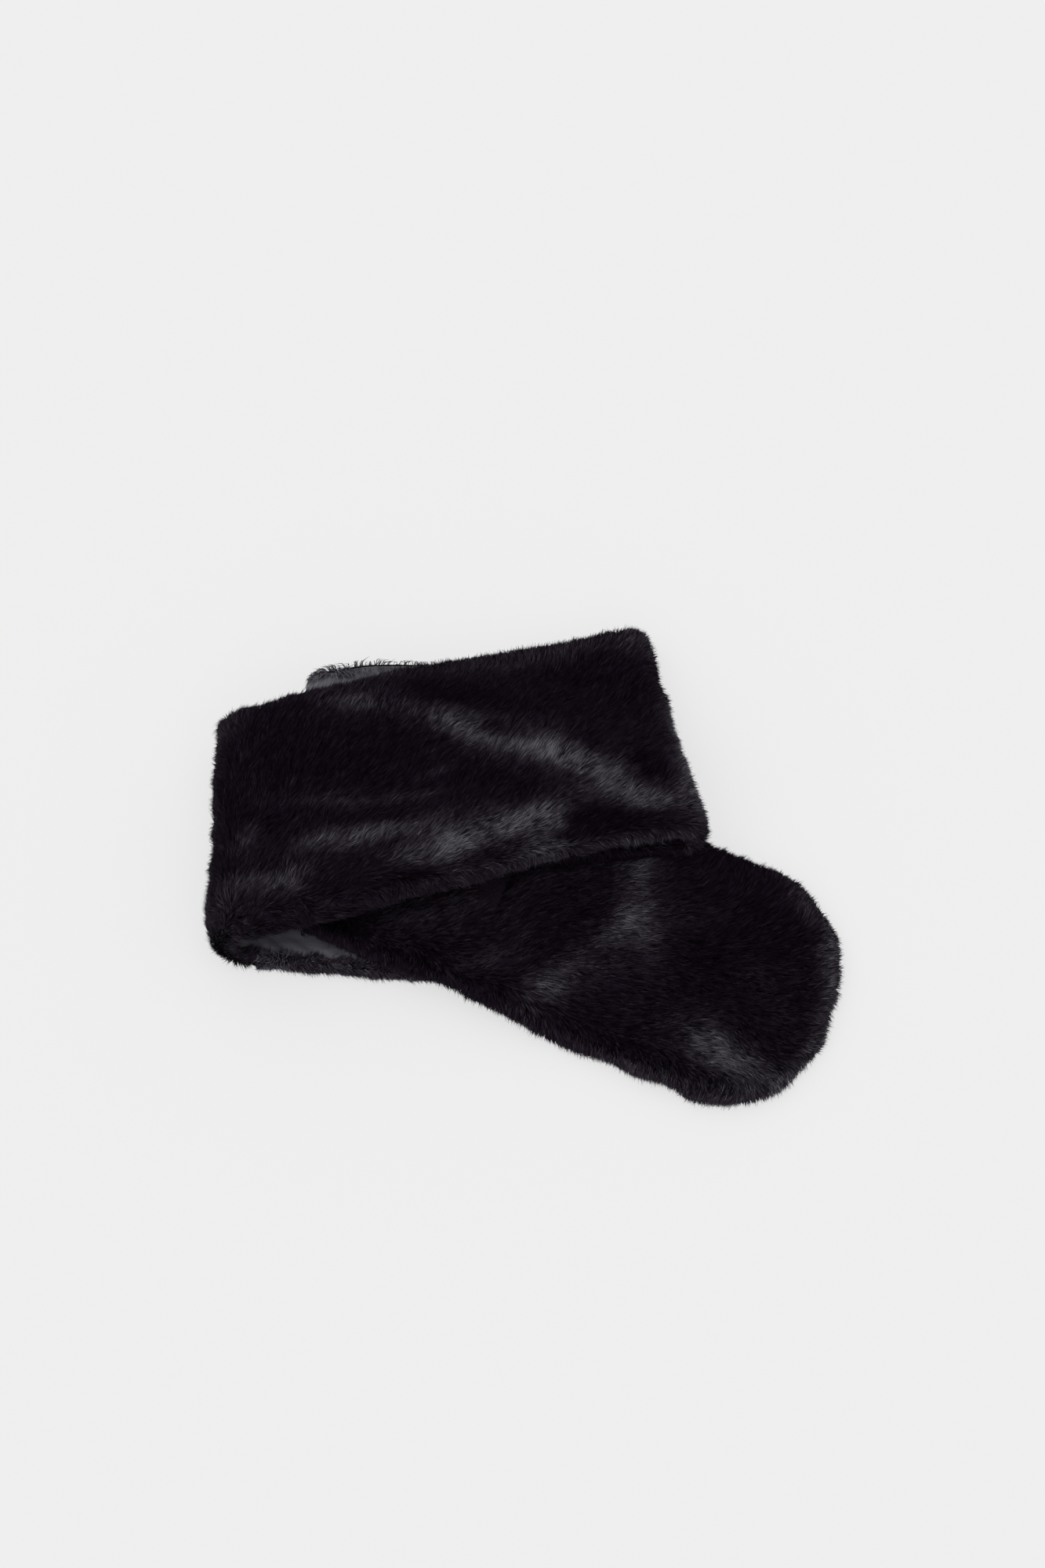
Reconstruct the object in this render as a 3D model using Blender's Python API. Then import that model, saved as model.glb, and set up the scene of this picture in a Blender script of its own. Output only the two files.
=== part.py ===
"""Faux-fur collar wrap, lying folded on a table.

One long strip, fur on the face and satin on the back, round at both ends. It is
folded in a zig-zag and the far end is tucked under. Going along the strip:

    tail     fur up, its round end in the open, lowest but for the tucked end
    fold F   on the left, satin outside, up and back over the tail
    middle   satin up, fur down on the tail
    fold R   on the right, fur outside, up and back over the middle
    top      fur up, over everything
    fold L   on the left, fur outside, down round the stack to the table
    under    satin up, fur down on the table, ending under the tail

+X runs to the right, +Y away from the viewer, +Z up, and Z = 0 is the table.
"""

import bmesh
import bpy
import numpy as np
from mathutils import Matrix

# ---- Driving dimensions, in millimetres

MM = 0.001
WRAP_WIDTH = 150.0  # from fur tip to fur tip
WALL = 12.5  # one layer: backing and standing pile
REST_GAP = 0.8  # between one layer and the next
SEAM_GAP = 0.3  # between two stretches that meet at a fold
LINING_WALL = 1.0
LINING_GAP = 0.3  # satin to fur, and satin to the rim's plane
RIM = 6.0  # fur that shows beside the satin
RIM_BEVEL = 1.2
EDGE_SWELL = 4.0  # how far the round edge stands out past the flat pile
DRAPE_START = 4.0  # how far past an edge the layer above it stays level
DRAPE = 42.0  # over which it then comes down, past one layer
DEEP_DRAPE = 52.0  # and past two or more
FOLD_EASE = 8.0  # over which a layer levels out before it turns

HALF_WIDTH = WRAP_WIDTH / 2
STEP = WALL + REST_GAP
RECESS = LINING_WALL + 2 * LINING_GAP

# ---- Where the strip lies, seen from above
# A rib runs straight across the strip, from its near edge to its far edge. Its
# columns are near x, near y, far x and far y.

FOLD_L = (-146.5, -62.5, -148.0, 80.5)
FOLD_R = (88.0, -3.5, 55.0, 144.5)
FOLD_F = (-126.0, -44.0, -108.0, 116.5)

TAIL_RIBS = (
    FOLD_F,
    (-75.0, -69.0, -14.0, 67.0),
    (-2.0, -100.0, 59.0, 35.0),
    (65.0, -134.5, 129.0, 2.5),
)
MIDDLE_RIBS = (
    FOLD_F,
    (-72.0, -26.0, -88.0, 123.0),
    (8.0, -12.0, -22.0, 133.0),
    FOLD_R,
)
TOP_RIBS = (
    FOLD_L,
    (-116.0, -56.0, -122.0, 88.5),
    (-59.0, -38.0, -86.0, 101.0),
    (-28.0, -30.5, -62.0, 112.0),
    (10.0, -18.5, -26.0, 128.0),
    (50.0, -8.5, 14.0, 136.5),
    FOLD_R,
)
UNDER_RIBS = (
    FOLD_L,
    (-86.0, -70.0, -75.0, 79.0),
    (-19.0, -75.0, -7.0, 74.0),
)

# Inner radius that a fold keeps beyond the layers that it goes round.
FOLD_L_OPEN = 1.2
FOLD_R_OPEN = 2.5
FOLD_F_OPEN = 1.0
FOLD_SWELL = 38.0  # how far from a fold its swelling reaches

# Exponent of a round end's curve on its near and far side. 2 is a true half circle.
TAIL_FULLNESS = (2.9, 2.2)
UNDER_FULLNESS = (2.0, 2.0)

# Soft troughs pressed into the pile where it shows. Their columns are x, y, half the
# length, half the width, heading in degrees, and depth.
TOP_HOLLOWS = (
    (12.0, 52.0, 60.0, 13.0, -22.0, 2.2),
    (-12.0, -12.0, 48.0, 11.0, 16.0, 2.0),
    (-100.0, 84.0, 16.0, 9.0, 15.0, 1.2),
    (-138.0, -26.0, 26.0, 10.0, 55.0, 1.2),
    (-108.0, 12.0, 34.0, 7.0, 8.0, 1.0),
)
TAIL_HOLLOWS = (
    (70.0, -38.0, 30.0, 11.0, -78.0, 1.6),
    (15.0, -88.0, 24.0, 14.0, 12.0, 1.6),
    (118.0, -112.0, 30.0, 14.0, -30.0, 2.0),
)

# How finely a section is divided across its pile and its back.
SHOWN_POINTS = 15
HIDDEN_POINTS = 13
FLAT_POINTS = 5
MERGE_DISTANCE = 0.02

FUR_BLACK = (0.012, 0.011, 0.014, 1.0)
SATIN_SLATE = (0.045, 0.050, 0.060, 1.0)


# ---- Small helpers


def smooth(t):
    """0 below 0, 1 above 1, and a smooth ramp between."""
    t = np.clip(t, 0.0, 1.0)
    return t * t * (3 - 2 * t)


def along(rows, at):
    """A smooth curve through the rows, read at each value of at from 0 to 1."""
    rows = np.asarray(rows, float)
    gaps = np.linalg.norm(np.diff(rows, axis=0), axis=1)
    knots = np.concatenate([[0.0], np.cumsum(gaps)]) / gaps.sum()
    slopes = np.gradient(rows, knots, axis=0)
    k = np.clip(np.searchsorted(knots, at, side="right") - 1, 0, len(rows) - 2)
    span = (knots[k + 1] - knots[k])[:, None]
    t = (np.asarray(at) - knots[k])[:, None] / span
    a, b = rows[k], rows[k + 1]
    da, db = slopes[k] * span, slopes[k + 1] * span
    return (
        a * (1 + 2 * t) * (1 - t) ** 2
        + da * t * (1 - t) ** 2
        + b * t * t * (3 - 2 * t)
        + db * t * t * (t - 1)
    )


def across(rib, v):
    """The point on a rib, v millimetres from its middle on the flat strip."""
    near, far = np.asarray(rib[:2]), np.asarray(rib[2:])
    return (near + far) / 2 + np.multiply.outer(v, far - near) / WRAP_WIDTH


def fold_normal(fold, towards):
    """The level unit vector square to a fold, on the side where that point lies."""
    near, far = np.asarray(fold[:2]), np.asarray(fold[2:])
    normal = np.array([far[1] - near[1], near[0] - far[0]]) / np.hypot(*(far - near))
    return normal if (np.asarray(towards) - near) @ normal > 0 else -normal


def depth_in(points, fold, towards):
    """How far each point lies from a fold, into the stretch."""
    return (points - np.asarray(fold[:2])) @ fold_normal(fold, towards)


def eased(points, fold, towards):
    """The points moved into the stretch near a fold, so that heights level out there."""
    depth = np.maximum(depth_in(points, fold, towards), 0.0)
    shift = np.sqrt(depth**2 + FOLD_EASE**2) - depth
    return points + np.multiply.outer(shift, fold_normal(fold, towards))


def swelling(points, fold, towards, amount):
    """The lift of a layer near the fold that it goes round."""
    return amount * (1 - smooth(depth_in(points, fold, towards) / FOLD_SWELL))


def hollow(points, hollows):
    """How deep the pile is pressed in at each point."""
    total = np.zeros(len(points))
    for x, y, half_length, half_width, heading_deg, depth in hollows:
        heading = np.radians(heading_deg)
        away = points - (x, y)
        a = away @ (np.cos(heading), np.sin(heading)) / half_length
        b = away @ (-np.sin(heading), np.cos(heading)) / half_width
        total += depth * np.exp(-(a**2) - b**2)
    return total


# ---- Outlines of the stretches, and how the layers lie over each other


def end_axes(ribs):
    """The middle of the last rib, its half as a vector, and a round end's length outward."""
    middle = across(ribs[-1], 0.0)
    half = across(ribs[-1], HALF_WIDTH) - middle
    out = -fold_normal(ribs[-1], across(ribs[-2], 0.0)) * HALF_WIDTH
    return middle, half, out


def round_end_points(ribs, share, turn, fullness):
    """Points of a section that folds back about the middle of a round end.

    share runs from -1 at the near edge to 1 at the far one. turn runs from 0, on
    the last rib, to a quarter turn, where both halves lie on the strip's middle.
    """
    middle, half, out = end_axes(ribs)
    power = 2 / np.where(share < 0, *fullness)
    sideways = share * np.cos(turn) ** power
    outward = np.abs(share) * np.sin(turn) ** power
    return middle + np.multiply.outer(sideways, half) + np.multiply.outer(outward, out)


def round_end(ribs, fullness, steps=10):
    """The outline of a round end, from the last rib's near end to its far end."""
    turns = np.linspace(0, np.pi / 2, steps + 1)
    near = [round_end_points(ribs, -np.ones(1), turn, fullness)[0] for turn in turns]
    far = [round_end_points(ribs, np.ones(1), turn, fullness)[0] for turn in turns]
    return np.array(near + far[-2::-1])


def outline(ribs, before=0.0, after=0.0, fullness=None):
    """A stretch's outline from above, let out past its first and last rib."""
    rows = along(ribs, np.linspace(0, 1, 13))
    first_out = -fold_normal(ribs[0], across(ribs[1], 0.0)) * before
    near, far = rows[:, :2], rows[:, 2:]
    if fullness:
        end = round_end(ribs, fullness)
    else:
        last_out = -fold_normal(ribs[-1], across(ribs[-2], 0.0)) * after
        end = np.array([near[-1], near[-1] + last_out, far[-1] + last_out, far[-1]])
    start = np.array([far[0] + first_out, near[0] + first_out])
    return np.concatenate([near, end, far[::-1], start])


def cover(points, shape, drape):
    """1 over an outline, falling smoothly to 0 outside it."""
    a, b = shape, np.roll(shape, -1, axis=0)
    side = b - a
    away = points[:, None] - a
    t = np.clip((away * side).sum(2) / np.maximum((side**2).sum(1), 1e-9), 0, 1)
    distance = np.linalg.norm(away - t[..., None] * side, axis=2).min(1)
    rises = (a[:, 1] > points[:, 1:]) != (b[:, 1] > points[:, 1:])
    run = np.where(side[:, 1] == 0, 1e-9, side[:, 1])
    cross_x = a[:, 0] + (points[:, 1:] - a[:, 1]) * side[:, 0] / run
    inside = (rises & (points[:, :1] < cross_x)).sum(1) % 2 == 1
    return 1 - smooth((np.where(inside, 0.0, distance) - DRAPE_START) / drape)


FOLD_F_REACH = WALL + FOLD_F_OPEN
UNDER_OUTLINE = outline(UNDER_RIBS, before=3 * WALL, fullness=UNDER_FULLNESS)
TAIL_OUTLINE = outline(TAIL_RIBS, before=FOLD_F_REACH, fullness=TAIL_FULLNESS)
MIDDLE_OUTLINE = outline(MIDDLE_RIBS, before=FOLD_F_REACH, after=2 * WALL)

STACK_MIDDLE = across(TOP_RIBS[3], 0.0)  # every fold has the stack on this side


def under_lift(points):
    """The tucked end lies on the table."""
    return np.zeros(len(points))


def tail_lift(points):
    """Height of the tail's lower face: on the tucked end, then on the table."""
    points = eased(points, FOLD_F, STACK_MIDDLE)
    return STEP * cover(points, UNDER_OUTLINE, DRAPE)


def two_lowest(points):
    """How many of the under stretch and the tail lie below each point, eased at their edges."""
    return cover(points, UNDER_OUTLINE, DEEP_DRAPE) + cover(points, TAIL_OUTLINE, DEEP_DRAPE)


def middle_lift(points):
    """Height of the middle's lower face, on the tail."""
    swell = swelling(points, FOLD_F, STACK_MIDDLE, 2 * FOLD_F_OPEN - REST_GAP)
    points = eased(points, FOLD_F, STACK_MIDDLE)
    points = eased(points, FOLD_R, STACK_MIDDLE)
    return STEP * two_lowest(points) + swell


def top_lift(points):
    """Height of the top's lower face, on the middle."""
    swell = swelling(points, FOLD_F, STACK_MIDDLE, 2 * FOLD_F_OPEN - REST_GAP)
    swell += swelling(points, FOLD_R, STACK_MIDDLE, 2 * FOLD_R_OPEN - REST_GAP)
    swell += swelling(points, FOLD_L, STACK_MIDDLE, 2 * FOLD_L_OPEN - REST_GAP)
    points = eased(points, FOLD_L, STACK_MIDDLE)
    points = eased(points, FOLD_R, STACK_MIDDLE)
    return STEP * (two_lowest(points) + cover(points, MIDDLE_OUTLINE, DRAPE)) + swell


# ---- Stations: where a section of the strip lies in space
# A section's points are (v, w): v across the strip, w from the satin's plane to the fur.


def level_station(rib, lift, fur_up, hollows=()):
    """A section that lies on what is below it."""

    def place(v, w):
        plan = across(rib, v)
        pressed = hollow(plan, hollows) * smooth(w / WALL)
        height = w - pressed if fur_up else WALL - w
        return np.column_stack([plan, lift(plan) + height])

    return place


def turning_station(fold, turn, lower_face, upper_face, fur_outside):
    """A section on its way round a fold. turn is 0 at the top and pi at the bottom."""
    out = -fold_normal(fold, STACK_MIDDLE)

    def place(v, w):
        plan = across(fold, v)
        low, high = lower_face(plan), upper_face(plan)
        inner = (high - low) / 2
        radius = inner + (w if fur_outside else WALL - w)
        level = plan + np.multiply.outer(radius * np.sin(turn), out)
        return np.column_stack([level, low + inner + radius * np.cos(turn)])

    return place


def round_end_station(ribs, turn, fullness, lift, fur_up, hollows=()):
    """A section of a round end: straight at turn 0, shut on itself at a quarter turn."""

    def place(v, w):
        plan = round_end_points(ribs, v / HALF_WIDTH, turn, fullness)
        pressed = hollow(plan, hollows) * smooth(w / WALL)
        height = w - pressed if fur_up else WALL - w
        return np.column_stack([plan, lift(plan) + height])

    return place


def level_stations(ribs, count, lift, fur_up, hollows=(), first_gap=0.0, last_gap=0.0):
    """Sections along a stretch, a little closer together near its ends."""
    even = np.linspace(0, 1, count)
    at = 0.7 * even + 0.3 * (1 - np.cos(np.pi * even)) / 2
    length = np.linalg.norm(across(ribs[-1], 0.0) - across(ribs[0], 0.0))
    at[0], at[-1] = first_gap / length, 1 - last_gap / length
    return [level_station(rib, lift, fur_up, hollows) for rib in along(ribs, at)]


def turning_stations(fold, count, lower_face, upper_face, fur_outside):
    """Sections round a fold, from just below its top to its bottom."""
    turns = np.linspace(0, np.pi, count + 1)[1:]
    return [
        turning_station(fold, turn, lower_face, upper_face, fur_outside)
        for turn in turns
    ]


def round_end_stations(ribs, count, fullness, lift, fur_up, hollows=()):
    """Sections round an end, the last one shut."""
    turns = np.linspace(0, np.pi / 2, count + 1)[1:]
    return [
        round_end_station(ribs, turn, fullness, lift, fur_up, hollows) for turn in turns
    ]


# ---- The strip's sections


def fur_section(count, lined=True):
    """The fur's closed section: pile on one side, round edges, a bed for the satin."""
    flat = HALF_WIDTH - EDGE_SWELL
    pile = [(v, WALL) for v in np.linspace(-flat, flat, count)]
    angles = np.radians([60, 30, 0, -30, -60, -90])
    edge = [(flat + EDGE_SWELL * np.cos(a), WALL / 2 * (1 + np.sin(a))) for a in angles]
    bed = HALF_WIDTH - RIM
    if lined:
        back = [(bed + RIM_BEVEL, 0.0)]
        back += [(v, RECESS) for v in np.linspace(bed, -bed, count)]
        back += [(-bed - RIM_BEVEL, 0.0)]
    else:
        back = [(v, 0.0) for v in np.linspace(bed, -bed, count)]
    other_edge = [(-v, w) for v, w in edge[::-1]]
    return np.array(pile + edge + back + other_edge)


def lining_section(count):
    """The satin's closed section, a thin flat wall in the fur's bed."""
    half = HALF_WIDTH - RIM - LINING_GAP
    inner = [(v, LINING_GAP + LINING_WALL) for v in np.linspace(-half, half, count)]
    outer = [(v, LINING_GAP) for v in np.linspace(half, -half, count)]
    return np.array(inner + outer)


# ---- The stretches, each with the folds that it goes round


def under_stations():
    """From fold L to the tucked round end."""
    down = dict(lift=under_lift, fur_up=False)
    level = level_stations(UNDER_RIBS, 14, first_gap=SEAM_GAP, **down)
    return level + round_end_stations(UNDER_RIBS, 6, UNDER_FULLNESS, **down)


def tail_stations():
    """From fold F to the round end in the open."""
    up = dict(lift=tail_lift, fur_up=True, hollows=TAIL_HOLLOWS)
    level = level_stations(TAIL_RIBS, 22, first_gap=SEAM_GAP, **up)
    return level + round_end_stations(TAIL_RIBS, 9, TAIL_FULLNESS, **up)


def middle_stations():
    """From the tail, round fold F, to fold R."""

    def tail_top(plan):
        return tail_lift(plan) + WALL

    turn = turning_stations(FOLD_F, 6, tail_top, middle_lift, fur_outside=False)
    level = level_stations(MIDDLE_RIBS, 24, middle_lift, fur_up=False, last_gap=SEAM_GAP)
    return turn[::-1] + level


def top_stations():
    """From the under stretch, round fold L, over the stack and round fold R."""

    def under_top(plan):
        return under_lift(plan) + WALL

    def middle_top(plan):
        return middle_lift(plan) + WALL

    turn_l = turning_stations(FOLD_L, 8, under_top, top_lift, fur_outside=True)
    turn_r = turning_stations(FOLD_R, 8, middle_top, top_lift, fur_outside=True)
    level = level_stations(TOP_RIBS, 25, top_lift, fur_up=True, hollows=TOP_HOLLOWS)
    return turn_l[::-1] + level + turn_r


# ---- Solids


def make_material(name, colour, roughness, sheen):
    material = bpy.data.materials.new(name)
    material.use_nodes = True
    shader = material.node_tree.nodes["Principled BSDF"]
    shader.inputs["Base Color"].default_value = colour
    shader.inputs["Roughness"].default_value = roughness
    shader.inputs["Metallic"].default_value = 0.0
    shader.inputs["Sheen Weight"].default_value = sheen
    return material


def loft(name, section, stations, material, collection, last_is_shut=False):
    """A closed solid: the section placed at every station, joined, and capped.

    Each four-sided patch is split from its far side at one station to its near side
    at the next, on the fur and on the satin alike, so that the gap between them holds.
    A last station that is shut on itself needs no cap: its two halves merge.
    """
    mesh = bmesh.new()
    rings = []
    for place in stations:
        points = place(section[:, 0], section[:, 1]) * MM
        rings.append([mesh.verts.new(point) for point in points])
    for one, other in zip(rings, rings[1:]):
        for k in range(len(section)):
            n = (k + 1) % len(section)
            if section[k, 0] < section[n, 0]:
                mesh.faces.new((one[k], one[n], other[k]))
                mesh.faces.new((one[n], other[n], other[k]))
            else:
                mesh.faces.new((one[k], one[n], other[n]))
                mesh.faces.new((one[k], other[n], other[k]))
    mesh.faces.new(rings[0])
    if not last_is_shut:
        mesh.faces.new(rings[-1])
    bmesh.ops.remove_doubles(mesh, verts=mesh.verts, dist=MERGE_DISTANCE * MM)
    bmesh.ops.recalc_face_normals(mesh, faces=mesh.faces)
    bmesh.ops.triangulate(mesh, faces=mesh.faces)
    data = bpy.data.meshes.new(name)
    mesh.to_mesh(data)
    mesh.free()
    data.materials.append(material)
    data.shade_smooth()
    thing = bpy.data.objects.new(name, data)
    collection.objects.link(thing)
    return thing


def centre_on_origin(things):
    """Move the whole wrap, so that the origin is under the middle of its box."""
    corners = np.array([v.co for thing in things for v in thing.data.vertices])
    low, high = corners.min(axis=0), corners.max(axis=0)
    shift = ((low[0] + high[0]) / 2, (low[1] + high[1]) / 2, low[2])
    for thing in things:
        thing.data.transform(Matrix.Translation([-s for s in shift]))


def build():
    for thing in list(bpy.data.objects):
        bpy.data.objects.remove(thing)
    wrap = bpy.data.collections.new("fur_collar_wrap")
    bpy.context.scene.collection.children.link(wrap)
    fur = make_material("fur", FUR_BLACK, 0.75, 0.6)
    satin = make_material("satin", SATIN_SLATE, 0.4, 0.2)

    under, tail = under_stations(), tail_stations()
    middle, top = middle_stations(), top_stations()
    flat, hidden, shown = FLAT_POINTS, HIDDEN_POINTS, SHOWN_POINTS
    things = [
        loft("fur_under", fur_section(flat), under, fur, wrap, last_is_shut=True),
        loft("lining_under", lining_section(flat), under, satin, wrap, last_is_shut=True),
        loft("fur_tail", fur_section(shown, lined=False), tail, fur, wrap, last_is_shut=True),
        loft("fur_middle", fur_section(hidden), middle, fur, wrap),
        loft("lining_middle", lining_section(hidden), middle, satin, wrap),
        loft("fur_top", fur_section(shown), top, fur, wrap),
        loft("lining_top", lining_section(shown), top, satin, wrap),
    ]
    centre_on_origin(things)


build()
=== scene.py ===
import math

import bmesh
import bpy
import numpy as np
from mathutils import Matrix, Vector
from mathutils.bvhtree import BVHTree
from mathutils.kdtree import KDTree


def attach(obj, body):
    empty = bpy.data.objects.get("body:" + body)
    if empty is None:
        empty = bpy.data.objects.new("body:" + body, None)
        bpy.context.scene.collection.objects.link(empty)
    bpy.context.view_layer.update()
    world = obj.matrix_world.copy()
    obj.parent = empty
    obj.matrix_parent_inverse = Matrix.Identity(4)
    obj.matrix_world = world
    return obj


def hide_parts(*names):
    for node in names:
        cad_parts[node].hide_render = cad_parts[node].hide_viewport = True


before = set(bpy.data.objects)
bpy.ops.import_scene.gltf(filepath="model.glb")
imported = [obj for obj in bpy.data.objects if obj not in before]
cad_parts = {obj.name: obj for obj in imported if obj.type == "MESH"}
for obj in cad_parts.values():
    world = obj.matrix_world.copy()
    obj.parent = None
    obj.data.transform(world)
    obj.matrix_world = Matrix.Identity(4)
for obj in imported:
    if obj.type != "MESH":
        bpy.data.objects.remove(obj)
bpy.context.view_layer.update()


# ---------------------------------------------------------------- sizes

MM = 0.001

# Each fur stretch's lining and its length along the strip, in millimetres.
FUR_STRETCHES = {
    "fur_top": ("lining_top", 283.5),
    "fur_middle": ("lining_middle", 235.7),
    "fur_tail": (None, 314.3),
    "fur_under": ("lining_under", 209.3),
}

# The undercoat, in millimetres: how far it is drawn in under the strands, how far from
# a lining that starts and is complete, how near a lining it may come, and below what
# height it lies on the floor and is only drawn in sideways.
UNDERCOAT_DEPTH = 4.2
UNDERCOAT_STARTS = 2.2
UNDERCOAT_EASE = 6.0
UNDERCOAT_CLEAR = 1.5
LINING_SEARCH = 9
FLOOR_EDGE = 0.6

# The strands: how many in all and in one piece, and, in millimetres, how deep they root,
# how far they reach, how wide they are, and how high their tips and the stray ones stand.
STRANDS_PER_MM2 = 3.6
MOST_STRANDS = 345000
PIECE_STRANDS = 64000
ROOT_DEPTH = 4.8
STRAND_LAY = (5.5, 9.5)
STRAND_WIDTH = 0.44
TIP_LIFT = (-1.2, 0.5)
STRAY_SHARE = 0.12
STRAY_LIFT = (0.6, 2.4)
MIDDLE_DEPTH = (1.0, 2.0)
MIDDLE_LIFT = 0.35
FLOOR_CLEAR = 0.25
SPREAD_DEGREES = 10
TWIST = 0.55

# How many strands share a clump, how firmly it holds them, and how much of their own
# place their tips keep in it.
CLUMP_STRANDS = 5
CLUMP_HOLD = (0.05, 0.6)
CLUMP_SPREAD = 0.25

# How free tips are of the surface where it is level, how much more where it is steep,
# and the share of that which a sewn edge takes away.
TIP_FREE = 0.08
STEEP_FREE = 0.42
SEAM_TIGHT = 0.7

# Slow unevenness of the pile: a wave's length in millimetres and what it adds.
SWIRLS = ((42, 20), (13, 14))
LENGTH_WAVE = (17, 0.18)
LIFT_WAVES = ((26, 0.55), (6, 0.3))

# The pile's tone, from 0, deep and dark, to 1, where the painted sheen is brightest.
TONE_BASE = 0.087
TONE_WAVE = (9, 0.03)
TONE_WISP = 0.025
TONE_GRAIN = (0.10, 0.11)
# Painted rim light: lighter tone where the surface is steep.
PAINTED_RIM_LIGHT = 0.07
TONE_MOST = 0.84

# Painted sheen: what it adds to the tone, more or less by tuft, wisp and wave, its least
# value, and how it fades on the far side: from which slope, over how much more, and how far.
PAINTED_SHEEN_GAIN = 0.58
PAINTED_SHEEN_TUFT = (6, 0.13)
PAINTED_SHEEN_WISP = 0.10
PAINTED_SHEEN_WAVE = (20, 0.12)
LEAST_PAINTED_SHEEN = -0.12
PAINTED_SHEEN_FADE = (0.82, 0.12, 0.8)


# ---------------------------------------------------------------- places
# All of these are in millimetres in plan, with headings in degrees.

# Each stretch's edges in order, and how strongly the pile leans out over them.
EDGES = {
    "fur_top": [
        (-170, 86), (-60, 112), (60, 144), (74, 110), (86, 60), (99, 2), (50, -10), (-60, -34),
        (-165, -60), (-172, 0), (-170, 86),
    ],
    "fur_tail": [
        (98, 0), (130, -12), (160, -40), (172, -80), (160, -122), (118, -146), (70, -128),
        (0, -100), (-60, -78), (-120, -60),
    ],
    "fur_middle": [(-134, 70), (-122, 112), (-100, 116), (-60, 122), (60, 145)],
    "fur_under": [(-20, -76), (-90, -72), (-142, -62), (-146, 0), (-140, 70), (-60, 80)],
}
EDGE_PULL = {"fur_top": 0.05, "fur_tail": 0.2, "fur_middle": 0.6, "fur_under": 0.14}

# How much the pile on a stretch's sides falls out and down.
FALL = {"fur_top": 0.15, "fur_tail": 0.35, "fur_middle": 0.8, "fur_under": 0.30}

# Which way the pile lies from root to tip: x, y, heading.
NAP = {
    "fur_top": [
        (-158, 76, 72), (-162, 20, 68), (-160, -36, 60), (-150, -56, 44), (-100, -46, 30),
        (60, 132, 50), (84, 100, 38), (94, 50, 34), (92, 8, 14), (-140, 60, 60), (-135, 20, 54),
        (-140, -30, 52), (-95, 72, 44), (-95, 40, 50), (-100, 8, 42), (-95, -16, 38), (-50, 75, 42),
        (-45, 45, 44), (-45, 20, 42), (-50, -12, 26), (0, 95, 46), (-5, 60, 40), (-8, 25, 40),
        (-5, 0, 20), (30, 5, 20), (35, 40, 38), (30, 105, 46), (60, 85, 44), (62, 45, 38),
        (66, 18, 30),
    ],
    "fur_tail": [
        (-60, -30, 10), (-25, -62, 14), (15, -80, -8), (0, -50, 8), (42, -60, 4), (66, -30, -4),
        (66, -10, 14), (60, -95, -14), (100, -35, 8), (95, -80, -10), (96, -112, -36),
        (122, -118, -48), (138, -85, -16), (135, -50, 12),
    ],
    "fur_middle": [(0, 0, -80), (80, 0, -60)],
    "fur_under": [
        (-147, 20, -160), (-149, -30, -158), (-148, -56, -140), (-140, -66, -100), (-122, -68, -50),
        (-100, -68, -18), (-60, -74, -8), (-20, -76, -6), (0, 0, -10),
    ],
}
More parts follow.
